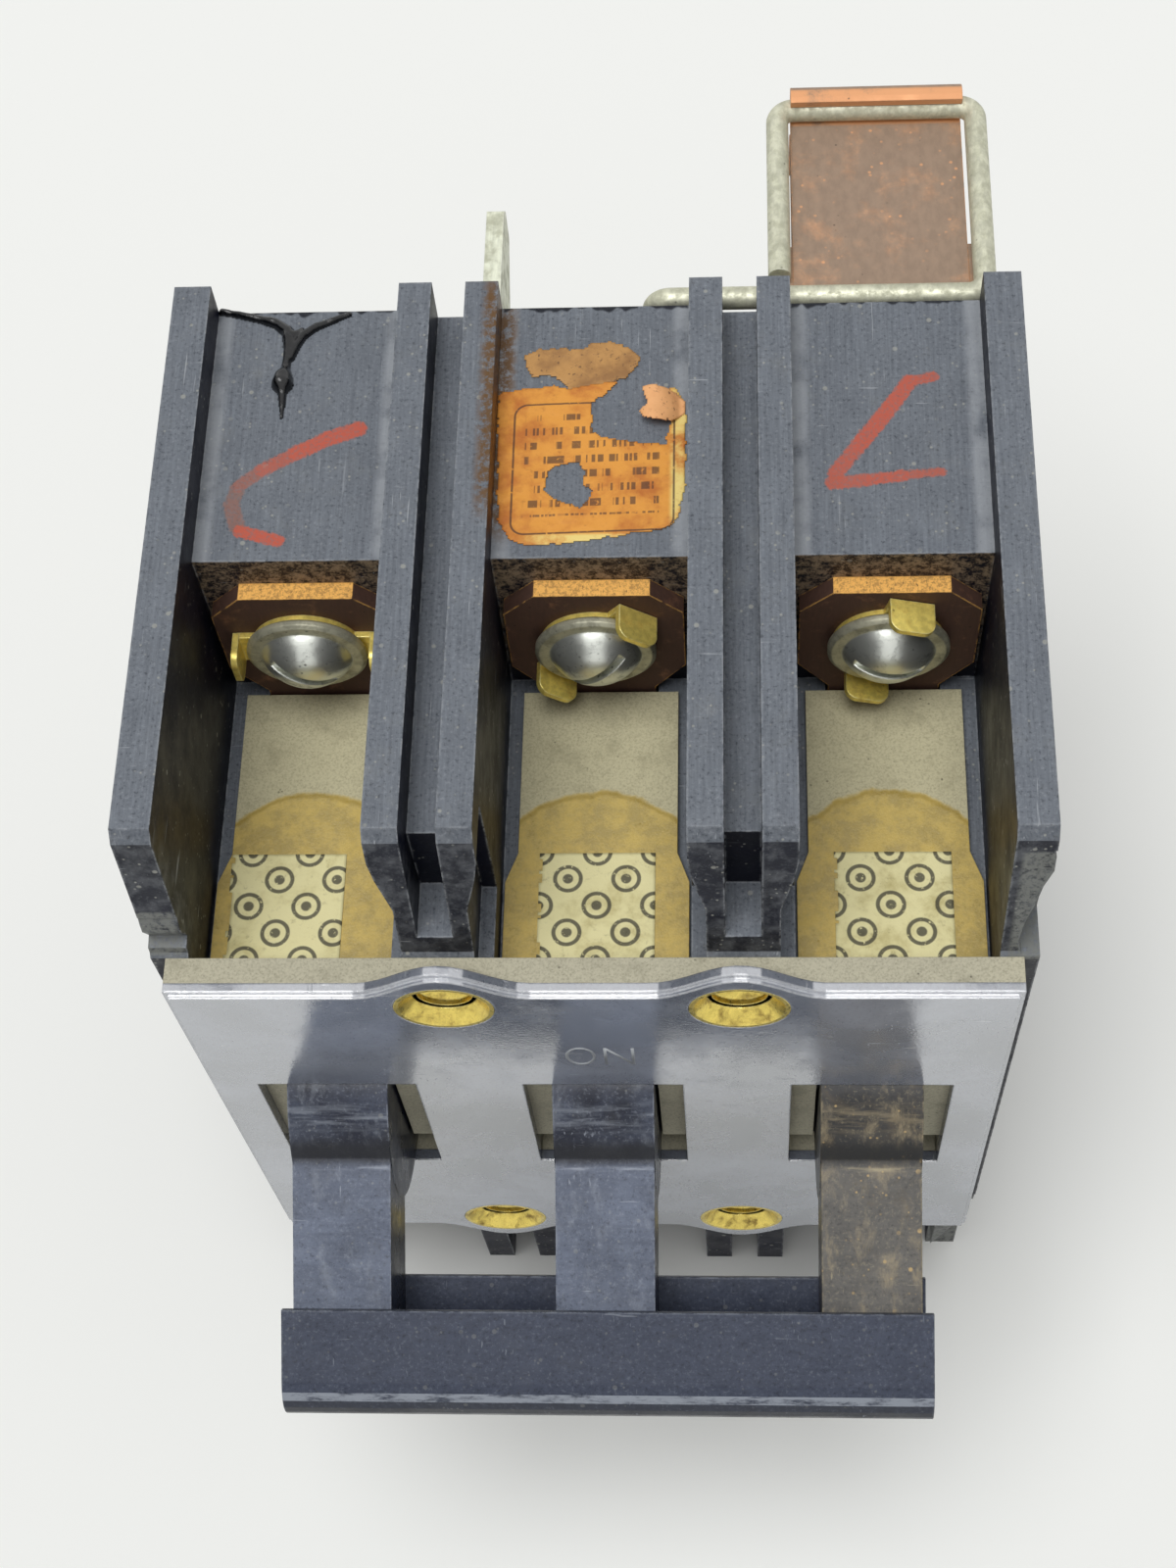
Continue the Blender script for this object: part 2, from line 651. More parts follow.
@dataclass(frozen=True)
class Metal:
    """Worn metal with tarnish, and bright cut edges.

    Attributes:
        name: the material's name.
        colour: colour of the clean metal.
        tarnish: colour of the tarnish.
        bright: colour of the rubbed edges.
        tarnished: how much of it is tarnished, from 0 to 1.
        rough: its roughness where it is clean.
        metallic: how metallic the clean metal is.
        blotch: size of the tarnish blotches in millimetres.
        cut_top: whether faces that look up are freshly cut.
        rub_width: width of the rubbed edges in millimetres.
        draw: scale of the drawing lines along X, Y and Z.
        tip: Y between which the crest of its lip is rubbed clean, or None.
        flecks: how many small bright flecks it has, from 0 to 1.
    """

    name: str
    colour: Tint
    tarnish: Tint
    bright: Tint
    tarnished: float = 0.4
    rough: float = 0.3
    metallic: float = 0.9
    blotch: float = 2.5
    cut_top: bool = False
    rub_width: float = 0.3
    draw: Point = (1.0, 1.0, 1.0)
    tip: Span | None = None
    flecks: float = 0.0

    def build(self) -> bpy.types.Material:
        """Material of this finish."""
        graph = Graph(self.name)
        lines = graph.noise(0.8, 4, 0.6, 0.0, graph.stretched(*self.draw))
        clouds = graph.noise(self.blotch, 6, 0.68, 0.2)
        spread = 0.75 - self.tarnished * 0.5
        dull = clouds.rise(spread - 0.16, spread + 0.12)
        metal = graph.mix(lines.rise(0.35, 0.65), shade(self.colour, 0.78), self.colour)
        film = graph.mix(lines.rise(0.3, 0.7), shade(self.tarnish, 0.84), self.tarnish)
        base = graph.mix(dull * 0.9, metal, film)
        rub = graph.edges(self.rub_width) * graph.noise(1.2, 3).rise(0.35, 0.55)
        if self.cut_top:
            _, _, up = graph.facing()
            grit = graph.noise(0.45, 4, 0.75).rise(0.62, 0.44) * 0.45 + 0.5
            rub = rub.most(up.rise(0.75, 0.9) * lines.rise(0.2, 0.45) * grit)
        if self.tip is not None:
            _, y, _ = graph.axes()
            rub = rub.most(y.band(*self.tip, 0.3) * clouds.rise(0.74, 0.5))
        if self.flecks:
            spots = graph.specks(1.3).rise(0.22, 0.12) * graph.noise(5.0, 3).rise(0.46, 0.6)
            rub = rub.most(spots * self.flecks)
        base = graph.mix(rub, base, self.bright)
        pits = graph.specks(1.5).rise(0.14, 0.05) * graph.noise(3.0, 2).rise(0.5, 0.62)
        base = graph.mix(pits * 0.7, base, shade(self.tarnish, 0.3))
        shine = (1.0 - dull * 0.6) * (1.0 - rub * 0.35)
        graph.set(Base_Color=base, Metallic=shine * self.metallic,
                  Roughness=dull * 0.26 + (lines * 0.16 + self.rough))
        graph.relief(lines * 0.5 + clouds * 0.5 - pits * 0.3, 0.035, 0.22)
        return graph.material


@dataclass(frozen=True)
class ScrewSteel:
    """Bright domed screw head, turned in rings, over a dull captive ring.

    Attributes:
        name: the material's name.
        centre: X and Z of the screw's axis in millimetres.
        dome_r: radius of the dome.
        dome: colour of the dome.
        ring: colour of the captive ring.
    """

    name: str
    centre: tuple[float, float]
    dome_r: float = 5.7
    dome: Tint = srgb(226, 229, 221)
    ring: Tint = srgb(186, 184, 162)

    def build(self) -> bpy.types.Material:
        """Material of this finish."""
        graph = Graph(self.name)
        x, y, z = graph.axes()
        across = (x - self.centre[0]) ** 2.0 + (z - self.centre[1]) ** 2.0
        radius = across ** 0.5
        on_ring = radius.rise(self.dome_r - 0.1, self.dome_r + 0.15)
        stain = graph.noise(1.8, 6, 0.7, 0.3)
        spots = graph.specks(1.2).rise(0.2, 0.06) * graph.noise(2.4, 2).rise(0.46, 0.58)
        dome = graph.mix(stain.rise(0.5, 0.7) * 0.75, self.dome, shade(self.dome, 0.4))
        ring = graph.mix(stain.rise(0.42, 0.66) * 0.8, self.ring, shade(self.ring, 0.5))
        base = graph.mix(spots * 0.8, graph.mix(on_ring, dome, ring), shade(self.ring, 0.12))
        by_radius = graph.node("ShaderNodeCombineXYZ", None, {0: radius * 3.0}).outputs[0]
        turned = graph.noise(0.5, 2, 0.5, 0.0, by_radius)
        graph.set(Base_Color=base, Metallic=0.86 - on_ring * 0.3 - spots * 0.4,
                  Roughness=turned * 0.14 + (on_ring * 0.14 + 0.24) + stain.rise(0.5, 0.8) * 0.2)
        graph.relief(turned * 0.4 + stain * 0.6 - spots * 0.3, 0.04, 0.3)
        return graph.material


@dataclass(frozen=True)
class Paper:
    """Printed paper, aged, with plain generic print.

    Attributes:
        name: the material's name.
        colour: colour of the paper.
        aged: colour of its browned stretches.
        ink: colour of the print.
        print_on: draws the print's mask.
        browning: how much of it is browned, from 0 to 1.
        margin: mask of its paler margin, or None.
        pale: colour of that margin.
    """

    name: str
    colour: Tint
    aged: Tint
    ink: Tint
    print_on: Callable[[Graph], Value]
    browning: float = 0.5
    margin: Callable[[Graph], Value] | None = None
    pale: Tint = srgb(240, 214, 128)

    def build(self) -> bpy.types.Material:
        """Material of this finish."""
        graph = Graph(self.name)
        clouds = graph.noise(4.5, 5, 0.62, 0.2)
        crumple = graph.noise(1.1, 5, 0.7)
        brown_from = 0.62 - self.browning * 0.4
        base = graph.mix(clouds.rise(brown_from, brown_from + 0.3) * 0.8, self.colour, self.aged)
        if self.margin is not None:
            base = graph.mix(self.margin(graph) * clouds.rise(0.66, 0.4), base, self.pale)
        base = graph.mix(crumple.rise(0.56, 0.74) * 0.4, base, shade(self.aged, 0.55))
        worn = graph.noise(0.6, 3, 0.65).rise(0.28, 0.42)
        base = graph.mix(self.print_on(graph) * worn * 0.85, base, self.ink)
        graph.set(Base_Color=base, Roughness=0.5 + clouds * 0.25)
        graph.relief(clouds * 0.5 + crumple * 0.5, 0.12)
        return graph.material


def ring_print(graph: Graph) -> Value:
    """Staggered rows of small plain rings, each round a dot, as on an insulating tape."""
    x, y, _ = graph.axes()
    pitch = 7.2
    first_x, first_y = 3.6, 2.8
    inner_r, outer_r, dot_r = 1.35, 1.85, 0.65

    def rings(shift: float) -> Value:
        """Rings on one of the two interleaved grids."""
        aside = x.to_grid(pitch, first_x - shift)
        along = y.to_grid(pitch, first_y - shift)
        reach = (aside * aside + along * along) ** 0.5
        return reach.band(inner_r, outer_r, 0.08).most(reach.rise(dot_r + 0.1, dot_r - 0.1))
    return rings(0.0).most(rings(pitch / 2))


def torn_print(graph: Graph) -> Value:
    """Dark strands where the paper's face is torn off."""
    return graph.noise(0.6, 3, 0.6).rise(0.6, 0.7)


def label_margin(graph: Graph) -> Value:
    """Pale margin along the label's right and lower edges, in millimetres of X and Y."""
    x, y, _ = graph.axes()
    right = x.rise(9.2, 10.0)
    lower = y.rise(-15.0, -15.6) * x.rise(-9.0, -6.0)
    return right.most(lower)


def line_print(graph: Graph) -> Value:
    """Rows of short illegible dashes in a thin round-cornered frame, as on an old paper label."""
    x, y, _ = graph.axes()
    lean = y + x * -0.03
    row_pitch = 2.1
    row = (lean + 100.0) / row_pitch
    in_row = abs(row.math("FRACT") - 0.5).rise(0.29, 0.22)

    def along_row(scale: float, seed: float, detail: float) -> Value:
        """Noise that varies along each row and from row to row."""
        step = graph.node("ShaderNodeCombineXYZ", None, {0: x * scale, 1: row.math("FLOOR") * seed})
        return graph.noise(1.0, detail, 0.5, 0.0, step.outputs[0])
    words = along_row(0.42, 7.3, 1).rise(0.42, 0.45)
    glyphs = along_row(2.6, 3.1, 0).rise(0.42, 0.5)
    block = x.band(-8.2, 8.2, 0.1) * lean.band(-12.6, 2.2, 0.1)
    frame_x, frame_y = 0.2, -5.6
    straight_x, straight_y = 8.1, 7.7
    corner_r, line_w = 1.675, 0.25
    u = abs(x - frame_x) - straight_x
    v = abs(lean - frame_y) - straight_y
    outside = (u.most(0.0) ** 2.0 + v.most(0.0) ** 2.0) ** 0.5 + u.most(v).least(0.0)
    frame_line = outside.band(corner_r - line_w / 2, corner_r + line_w / 2, 0.05)
    return (in_row * words * glyphs * block * 0.9).most(frame_line)


class Tone(Enum):
    """Named colours that several finishes share."""

    NAVY = srgb(12, 15, 32)
    HAZE = srgb(128, 134, 142)
    WORN = srgb(176, 180, 185)
    COPPER = srgb(214, 140, 92)
    COPPER_BROWN = srgb(92, 62, 44)
    COPPER_CUT = srgb(240, 178, 100)
    BRASS_DARK = srgb(124, 98, 40)
    STEEL = srgb(186, 187, 184)
    STEEL_DARK = srgb(96, 95, 90)


# ---------- meshes ----------
def add_piece(name: str, mesh: bpy.types.Mesh, material: bpy.types.Material, body: str,
              smooth: bool = True) -> bpy.types.Object:
    """Puts a mesh in the scene as a piece of the object.

    Args:
        name: the piece's name.
        mesh: its mesh, in the row frame.
        material: its finish.
        body: the body that it rides on.
        smooth: whether its faces shade smoothly.

    Returns:
        The new piece.
    """
    piece = bpy.data.objects.new(name, mesh)
    bpy.context.scene.collection.objects.link(piece)
    mesh.materials.append(material)
    mesh.polygons.foreach_set("use_smooth", [smooth] * len(mesh.polygons))
    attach(piece, body)
    log.info("%s: %d faces on %s", name, len(mesh.polygons), body)
    return piece


def mesh_from(name: str, points: Sequence[Point], faces: Sequence[Sequence[int]]) -> bpy.types.Mesh:
    """Mesh of points in millimetres, with its normals made to agree.

    Args:
        name: the mesh's name.
        points: its points.
        faces: its faces, as point numbers.

    Returns:
        The mesh, in metres.
    """
    mesh = bpy.data.meshes.new(name)
    mesh.from_pydata([tuple(c * MM for c in p) for p in points], [], [list(f) for f in faces])
    build = bmesh.new()
    build.from_mesh(mesh)
    bmesh.ops.recalc_face_normals(build, faces=build.faces)
    build.to_mesh(mesh)
    build.free()
    return mesh


def wobble(x: float, y: float, size: float, seed: float = 0.0) -> float:
    """Smooth noise from about -1 to 1 that varies over size millimetres."""
    return noise.noise(Vector((x / size, y / size, seed)))


@dataclass
class Sheet:
    """Thin sheet on a level surface, cut to any outline, with its thickness.

    Attributes:
        low: its lowest X and Y in millimetres.
        high: its highest X and Y.
        rest_z: height of the surface that it lies on.
        thick: its thickness.
        step: size of its grid.
        inside: says whether a point of the plane is on the sheet.
        lift: how far a point stands off the surface.
    """

    low: tuple[float, float]
    high: tuple[float, float]
    rest_z: float
    thick: float
    step: float
    inside: Callable[[float, float], bool]
    lift: Callable[[float, float], float]

    def mesh(self, name: str) -> bpy.types.Mesh:
        """Closed mesh of the sheet."""
        across = int((self.high[0] - self.low[0]) / self.step)
        along = int((self.high[1] - self.low[1]) / self.step)

        def place(i: int, j: int) -> tuple[float, float]:
            """X and Y of a grid corner."""
            return self.low[0] + i * self.step, self.low[1] + j * self.step
        kept = {(i, j) for i in range(across) for j in range(along)
                if self.inside(*(c + self.step / 2 for c in place(i, j)))}
        numbers: dict[tuple[int, int, int], int] = {}
        points: list[Point] = []

        def corner(i: int, j: int, level: int) -> int:
            """Number of a corner's point on the lower or the upper face."""
            key = (i, j, level)
            if key not in numbers:
                x, y = place(i, j)
                numbers[key] = len(points)
                points.append((x, y, self.rest_z + self.lift(x, y) + level * self.thick))
            return numbers[key]
        faces: list[list[int]] = []
        for i, j in kept:
            ring = ((i, j), (i + 1, j), (i + 1, j + 1), (i, j + 1))
            for level in (0, 1):
                faces.append([corner(*c, level) for c in ring])
            beside = ((i, j - 1), (i + 1, j), (i, j + 1), (i - 1, j))
            for k, cell in enumerate(beside):
                if cell not in kept:
                    a, b = ring[k], ring[(k + 1) % 4]
                    faces.append([corner(*a, 0), corner(*b, 0), corner(*b, 1), corner(*a, 1)])
        return mesh_from(name, points, faces)


def tube(name: str, paths: Iterable[Sequence[Point]], radius: float, sides: int = 8) -> bpy.types.Mesh:
    """Round bead along each path, on a face that looks to -Y.

    Args:
        name: the mesh's name.
        paths: the paths, in millimetres; a path that ends where it starts is closed.
        radius: the bead's radius.
        sides: how many sides the bead has.

    Returns:
        The mesh.
    """
    points: list[Point] = []
    faces: list[list[int]] = []
    out = Vector((0, 1, 0))
    for path in paths:
        start = len(points)
        closed = path[0] == path[-1]
        spots = [Vector(p) for p in (path[:-1] if closed else path)]
        n = len(spots)
        for i, spot in enumerate(spots):
            before = spots[i - 1] if closed or i else spot
            after = spots[(i + 1) % n] if closed or i < n - 1 else spot
            side = (after - before).normalized().cross(out)
            for k in range(sides):
                turn = math.tau * k / sides
                points.append(tuple(spot + radius * (math.cos(turn) * side + math.sin(turn) * out)))
        rings = n if closed else n - 1
        for i in range(rings):
            for k in range(sides):
                a, b = start + i * sides, start + ((i + 1) % n) * sides
                faces.append([a + k, a + (k + 1) % sides, b + (k + 1) % sides, b + k])
        if not closed:
            faces.append([start + k for k in range(sides)])
            faces.append([start + (n - 1) * sides + k for k in range(sides)])
    return mesh_from(name, points, faces)


# ---------- sub-assemblies ----------
def dress(nodes: Iterable[str], material: bpy.types.Material) -> None:
    """Gives CAD nodes a material."""
    for name in nodes:
        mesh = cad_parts[name].data
        mesh.materials.clear()
        mesh.materials.append(material)
        log.info("%s: %s", name, material.name)


@dataclass
class Case:
    """Moulded case with its cover, board, eyelets and steel blade."""

    moulding: CaseMoulding = CaseMoulding(
        "case_moulding", Tone.NAVY.value, Tone.HAZE.value, Tone.WORN.value, hazed=0.88, dusty=0.5,
        gloss=0.36,
        sheen=0.16)
    face: Moulding = Moulding(
        "cover_moulding", srgb(142, 148, 162), srgb(142, 148, 158), srgb(190, 194, 200), hazed=0.6,
        dusty=0.2,
        gloss=0.07, ior=4.6, flow=16.0, draw=(0.12, 1.0, 1.6), edge=0.5)
    board: Fibre = Fibre("fibre_board", srgb(192, 187, 164), srgb(132, 127, 108))
    rivet: Metal = Metal("eyelet_brass", srgb(242, 218, 116), Tone.BRASS_DARK.value, srgb(252, 238, 160),
                         tarnished=0.3, rough=0.2, blotch=1.6)
    plating: Metal = Metal("zinc_blade", srgb(232, 235, 215), srgb(186, 187, 164), srgb(240, 242, 228),
                           tarnished=0.35, rough=0.42, metallic=0.6, draw=(1.0, 0.2, 2.0))
    lettering: Moulding = Moulding(
        "letter_moulding", srgb(158, 162, 168), srgb(186, 190, 194), srgb(206, 208, 210), dusty=0.2,
        gloss=0.3)
    letter_z: float = 113.2
    letter_h: float = 5.4
    letter_w: float = 3.4
    letter_x: tuple[float, float] = (-2.2, 2.6)
    stroke_r: float = 0.26

    def build(self) -> None:
        """Dresses the case and puts ON on its face."""
        dress(["base"], self.moulding.build())
        dress(["cover"], self.face.build())
        dress(["spacer_board"], self.board.build())
        dress(["case_eyelets"], self.rivet.build())
        dress(["mounting_prong"], self.plating.build())
        self.letter_on()

    def letter_on(self) -> None:
        """Raised ON in thin strokes on the cover."""
        face_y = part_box("cover")[0].y / MM
        y = face_y + self.stroke_r * 0.55
        o_x, n_x = self.letter_x
        half_w, half_h = self.letter_w / 2, self.letter_h / 2
        steps = 28
        turns = [math.tau * i / steps for i in range(steps)]
        oval = [(o_x + half_w * math.cos(t), y, self.letter_z + half_h * math.sin(t)) for t in turns]
        low, high = self.letter_z - half_h, self.letter_z + half_h
        corners = [(n_x - half_w, low), (n_x - half_w, high), (n_x + half_w, low), (n_x + half_w, high)]
        strokes = [oval + [oval[0]]]
        strokes += [[(a[0], y, a[1]), (b[0], y, b[1])] for a, b in zip(corners, corners[1:])]
        letters = tube("on_lettering", strokes, self.stroke_r)
        add_piece("on_lettering", letters, self.lettering.build(), "case")


def in_outline(outline: Outline, x: float, y: float) -> bool:
    """Whether a point lies inside a closed outline."""
    inside = False
    for a, b in zip(outline, outline[1:] + outline[:1]):
        if (a[1] > y) != (b[1] > y) and x < a[0] + (y - a[1]) / (b[1] - a[1]) * (b[0] - a[0]):
            inside = not inside
    return inside


@dataclass
class BlockMarks:
    """Torn paper label on the middle block and a run of black compound on the left one.

    Attributes:
        block_z: Z of the block tops in millimetres, like all lengths here.
        label: outline of the label.
        label_box: lowest and highest X and Y that it is cut from, and so for the next three.
        scrap: outline of the torn scrap behind it.
        hole: outline of the hole in the label.
        flap: outline of the curled flap.
        flap_rise: how high the flap stands up.
        fray: how far the outlines stray.
        face: finish of the label's face.
        torn: finish of the scrap.
        curl: finish of the flap's back.
        run: the compound's trickles, with X, Y and radius at each bend.
        compound: finish of the compound.
    """

    block_z: float = 151.5
    label: Outline = (
        (-11.7, 5.3), (-10.2, 5.7), (-7.5, 6.1), (-4.8, 6.4), (-3.0, 5.9), (-0.4, 6.5), (2.2, 6.7),
        (2.9, 6.8), (1.6, 5.3), (0.3, 4.3), (-0.4, 3.7), (-0.1, 1.7), (-0.1, -0.4), (1.1, -1.2),
        (3.7, -1.9), (6.4, -2.3),
        (8.9, -2.5), (9.1, -1.3), (9.5, 0.3), (9.8, 2.3), (9.0, 5.5), (9.7, 5.9), (10.3, 5.7), (10.8, 4.3),
        (11.3, 2.3), (11.4, -1.4), (11.4, -4.9), (11.3, -8.5), (10.7, -12.0), (9.9, -14.1), (8.2, -14.8),
        (5.2, -15.2), (1.3, -15.9), (-3.5, -16.6), (-7.1, -16.8), (-9.1, -16.3), (-10.2, -15.1),
        (-10.9, -13.6), (-11.2, -10.5), (-11.6, -2.6))
    label_box: Region = ((-12.0, -17.2), (12.0, 7.2))
    scrap: Outline = (
        (-8.7, 11.2), (-7.0, 11.9), (-4.3, 12.0), (-1.9, 11.8), (-0.2, 12.7), (1.8, 12.9), (3.5, 12.5),
        (4.9, 11.4), (5.7, 10.5), (5.3, 9.3), (4.7, 8.3), (3.2, 7.0), (1.6, 6.6), (-0.4, 6.4),
        (-3.0, 5.7), (-3.7, 6.8),
        (-4.9, 7.7), (-6.2, 8.1), (-7.7, 7.7), (-8.4, 9.2))
    scrap_box: Region = ((-9.2, 5.4), (6.2, 13.2))
    hole: Outline = (
        (-5.3, -6.2), (-4.2, -5.4), (-1.8, -4.9), (-0.8, -6.3), (-1.1, -8.1), (0.2, -9.0), (-0.4, -10.6),
        (-1.4, -11.6), (-3.4, -10.6), (-4.7, -10.0), (-5.7, -9.0))
    flap: Outline = (
        (6.0, 5.2), (8.0, 5.0), (10.3, 4.7), (11.3, 3.5), (11.2, 1.9), (9.7, 0.3), (8.0, 0.0), (6.3, 0.5),
        (5.7, 1.6), (6.8, 2.5), (6.3, 4.0))
    flap_box: Region = ((5.3, -0.3), (11.6, 5.5))
    flap_rise: float = 1.6
    fray: float = 0.28
    face: Paper = Paper("label_paper", srgb(228, 156, 62), srgb(178, 94, 34), srgb(66, 44, 30), line_print,
                        browning=0.55, margin=label_margin)
    torn: Paper = Paper("torn_fibre", srgb(190, 142, 82), srgb(136, 96, 56), srgb(96, 68, 42), torn_print,
                        browning=0.6)
    curl: Paper = Paper("label_back", srgb(240, 178, 120), srgb(204, 128, 76), srgb(120, 78, 46), torn_print,
                        browning=0.3)
    run: tuple[tuple[tuple[float, float, float], ...], ...] = (
        ((-47.4, 18.6, 0.5), (-45.1, 18.1, 0.5), (-42.7, 17.4, 0.55), (-40.3, 16.6, 0.7), (-38.8, 15.4, 0.8),
         (-38.5, 14.2, 0.8), (-38.5, 12.0, 0.65), (-38.6, 9.7, 0.6), (-38.8, 8.2, 1.2), (-38.8, 7.2, 1.35),
         (-38.7, 5.7, 0.6), (-38.6, 3.6, 0.35), (-38.6, 2.4, 0.25)),
        ((-31.2, 17.9, 0.4), (-33.3, 16.9, 0.45), (-35.2, 16.0, 0.55), (-36.7, 14.8, 0.6), (-37.5, 13.2, 0.6),
         (-38.1, 11.4, 0.55)),
        ((-38.6, 14.4, 0.9), (-37.6, 14.9, 0.5), (-37.0, 15.8, 0.3)))
    run_box: Region = ((-48.4, 1.6), (-30.4, 19.4))
    compound: Moulding = Moulding("black_compound", srgb(8, 9, 12), srgb(26, 29, 34), srgb(60, 64, 70),
                                  hazed=0.1, dusty=0.05, gloss=0.02, ior=1.55, flow=3.0)

    def build(self) -> None:
        """Makes the label and the run of compound."""
        label = Sheet(*self.label_box, self.block_z, 0.1, 0.24, self.on_label, self.label_lift)
        scrap = Sheet(*self.scrap_box, self.block_z, 0.08, 0.24, self.on_scrap, self.label_lift)
        flap = Sheet(*self.flap_box, self.block_z, 0.14, 0.2, self.on_flap, self.flap_lift)
        run = Sheet(*self.run_box, self.block_z, 0.1, 0.16, self.on_run, self.run_height)
        for name, sheet, finish in (("torn_label", label, self.face), ("label_scrap", scrap, self.torn),
                                    ("label_flap", flap, self.curl)):
            add_piece(name, sheet.mesh(name), finish.build(), "case")
        add_piece("compound_run", self.settled(run), self.compound.build(), "case")

    def frayed(self, outline: Outline, x: float, y: float) -> bool:
        """Whether a point is inside an outline whose edge is frayed a little."""
        stray_x, stray_y = (self.fray * wobble(x, y, 0.9, seed) for seed in (3.0, 8.0))
        return in_outline(outline, x + stray_x, y + stray_y)

    def on_label(self, x: float, y: float) -> bool:
        """Whether the label covers a point of the block."""
        return self.frayed(self.label, x, y) and not self.frayed(self.hole, x, y)

    def on_scrap(self, x: float, y: float) -> bool:
        """Whether the torn scrap behind the label covers a point of the block."""
        return self.frayed(self.scrap, x, y)

    def on_flap(self, x: float, y: float) -> bool:
        """Whether the flap covers a point of the block."""
        return in_outline(self.flap, x, y)

    def label_lift(self, x: float, y: float) -> float:
        """Height of the label over the block, with its wrinkles."""
        crease = 0.12 * max(0.0, wobble(x * 0.4, y, 2.2, 5.0)) + 0.05 * wobble(x, y, 0.9, 7.0)
        return 0.06 + max(0.0, crease)

    def flap_lift(self, x: float, y: float) -> float:
        """Height of the curled flap, which stands up from its right edge."""
        out = max(0.0, (10.6 - x) / 5.0)
        return 0.2 + self.flap_rise * math.sin(min(out, 1.0) * math.pi * 0.8) + 0.12 * wobble(x, y, 1.5, 2.0)

    def run_depth(self, x: float, y: float) -> float:
        """Height of the compound over the block, negative off it."""
        best = -1.0
        for path in self.run:
            for a, b in zip(path, path[1:]):
                dx, dy = b[0] - a[0], b[1] - a[1]
                t = max(0.0, min(1.0, ((x - a[0]) * dx + (y - a[1]) * dy) / (dx * dx + dy * dy)))
                radius = a[2] + t * (b[2] - a[2]) + 0.1 * wobble(x, y, 1.3, 2.0)
                gap = math.hypot(x - a[0] - t * dx, y - a[1] - t * dy)
                best = max(best, radius * radius - gap * gap)
        return math.sqrt(best) if best > 0 else -1.0

    def on_run(self, x: float, y: float) -> bool:
        """Whether the compound covers a point."""
        return self.run_depth(x, y) > 0.0

    def run_height(self, x: float, y: float) -> float:
        """Height of the compound's surface."""
        return 1.3 * max(0.02, self.run_depth(x, y))

    def settled(self, run: Sheet) -> bpy.types.Mesh:
        """Mesh of the compound with its underside let down onto the block and its surface smoothed.

        Args:
            run: the sheet that follows the compound's surface.

        Returns:
            The closed mesh.
        """
        mesh = run.mesh("compound_run")
        floor = (self.block_z - 0.05) * MM
        build = bmesh.new()
        build.from_mesh(mesh)
        over: dict[tuple[int, int], list[bmesh.types.BMVert]] = {}
        for vertex in build.verts:
            over.setdefault((round(vertex.co.x * 1e6), round(vertex.co.y * 1e6)), []).append(vertex)
        tops = []
        for pair in over.values():
            pair.sort(key=lambda v: v.co.z)
            pair[0].co.z = floor
            tops.append(pair[-1])
        for _ in range(3):
            bmesh.ops.smooth_vert(build, verts=tops, factor=0.5,
                                  use_axis_x=True, use_axis_y=True, use_axis_z=True)
        build.to_mesh(mesh)
        build.free()
        return mesh


@dataclass
class Terminals:
    """Copper plates, screws, eared washers, floor sheets and their tapes."""

    plate: Metal = Metal("terminal_copper", srgb(156, 112, 88), srgb(76, 54, 46), srgb(255, 196, 104),
                         tarnished=0.8, rough=0.4, metallic=0.7, blotch=3.0, cut_top=True, rub_width=0.35,
                         draw=(2.0, 1.0, 0.3))
    ears: Metal = Metal("washer_brass", srgb(255, 232, 124), srgb(196, 162, 72), srgb(255, 246, 176),
                        tarnished=0.25, rough=0.26, metallic=0.55, blotch=1.8)
    sheet: Fibre = Fibre("floor_fibre", srgb(204, 197, 162), srgb(150, 143, 114), srgb(214, 180, 66))
    tape: Paper = Paper("tape_paper", srgb(240, 232, 176), srgb(188, 174, 112), srgb(34, 34, 34), ring_print,
                        browning=0.4)
    screw_z: float = 136.0
    floor_half: float = 11.0
    tape_w: float = 14.4
    tape_y: Span = (-58.5, -43.7)
    tape_shift: dict[str, float] = field(default_factory=lambda: {"left": -2.6, "middle": 0.0, "right": 0.4})

    def build(self) -> None:
        """Dresses the terminals and lays the tapes."""
        dress([f"load_terminal_{p}" for p in POLES], self.plate.build())
        dress([f"clamp_washer_{p}" for p in POLES], self.ears.build())
        dress([f"floor_sheet_{p}" for p in POLES], self.sheet.build())
        tape_material = self.tape.build()
        for pole in POLES:
            screw = ScrewSteel(f"screw_steel_{pole}", (POLE_X[pole], self.screw_z))
            dress([f"terminal_screw_{pole}"], screw.build())
            self.lay_tape(pole, tape_material)

    def lay_tape(self, pole: str, material: bpy.types.Material) -> None:
        """Lays one printed tape on a floor sheet."""
        name = f"floor_tape_{pole}"
        middle = POLE_X[pole] + self.tape_shift[pole]
        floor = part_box(f"floor_sheet_{pole}")[1].z / MM
        low = (max(middle - self.tape_w / 2, POLE_X[pole] - self.floor_half), self.tape_y[0])
        high = (middle + self.tape_w / 2, self.tape_y[1])
        sheet = Sheet(low, high, floor, 0.09, 0.4,
                      lambda x, y: x + 0.25 * wobble(x, y, 1.0, middle) > low[0] + 0.2,
                      lambda x, y: 0.02 + 0.04 * (1 + wobble(x, y, 2.2, middle)))
        add_piece(name, sheet.mesh(name), material, "case")


